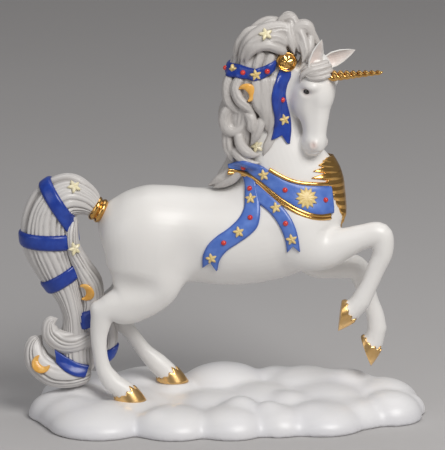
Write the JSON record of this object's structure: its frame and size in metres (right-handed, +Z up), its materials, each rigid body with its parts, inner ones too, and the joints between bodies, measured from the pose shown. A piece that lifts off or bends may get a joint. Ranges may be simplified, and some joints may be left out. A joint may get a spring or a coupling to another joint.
{
  "type": "unicorn figurine",
  "caption": "Glazed porcelain unicorn prancing on a cloud base, with blue and gilt ribbons, star and moon ornaments, a twisted gilt horn and a flowing mane and tail, for display on a shelf",
  "frame": {"origin": "middle of the cloud base's flat underside", "axes": "+Z up, the unicorn faces +X, its right side is at -Y"},
  "size_m": [0.204, 0.104, 0.2094],
  "materials": {
    "white_glaze": "glossy warm white glaze",
    "hair_glaze": "white glaze with grey-beige wash in the grooves",
    "cloud_glaze": "soft white glaze",
    "blue_glaze": "cornflower blue enamel",
    "deep_blue_glaze": "royal blue enamel",
    "gilt": "bright gold lustre over glaze",
    "red_enamel": "glossy red enamel bead",
    "cream_enamel": "pale gold enamel",
    "amber_enamel": "amber enamel",
    "black_enamel": "glossy black enamel"
  },
  "bodies": {
    "root": {"torso": "white_glaze", "neck": "white_glaze", "head": "white_glaze", "right_hind_leg": "white_glaze", "left_hind_leg": "white_glaze", "right_fore_leg": "white_glaze", "left_fore_leg": "white_glaze", "right_ear": "white_glaze", "left_ear": "white_glaze", "mane": "hair_glaze", "forelock": "hair_glaze", "mane_peak_lock": "hair_glaze", "mane_poll_roll": "hair_glaze", "mane_brow_wave": "hair_glaze", "mane_rear_lock": "hair_glaze", "mane_scroll_lock": "hair_glaze", "mane_side_lock": "hair_glaze", "mane_lower_lock": "hair_glaze", "mane_far_upper_lock": "hair_glaze", "mane_far_lower_lock": "hair_glaze", "tail_main": "hair_glaze", "tail_side_lock": "hair_glaze", "tail_upper_curl": "hair_glaze", "tail_lower_curl": "hair_glaze", "tail_inner_lock": "hair_glaze", "cloud_base": "cloud_glaze", "collar": "blue_glaze", "rear_streamers": "blue_glaze", "front_streamers": "blue_glaze", "bridle_ribbon": "blue_glaze", "cheek_streamers": "blue_glaze", "tail_band_top": "deep_blue_glaze", "tail_band_middle": "deep_blue_glaze", "tail_band_lower": "deep_blue_glaze", "tail_band_side": "deep_blue_glaze", "tail_band_foot": "deep_blue_glaze", "tail_band_inner": "deep_blue_glaze", "right_hind_hoof": "gilt", "left_hind_hoof": "gilt", "right_fore_hoof": "gilt", "left_fore_hoof": "gilt", "horn": "gilt", "tail_ring": "gilt", "medallions": "gilt", "collar_top_trim": "gilt", "collar_lower_trim": "gilt", "breast_plate": "gilt", "jewels": "red_enamel", "ribbon_stars": "cream_enamel", "suns": "cream_enamel", "mane_stars": "cream_enamel", "tail_stars": "cream_enamel", "mane_moon": "amber_enamel", "tail_moons": "amber_enamel", "eyes": "black_enamel"}
  },
  "joints": []
}
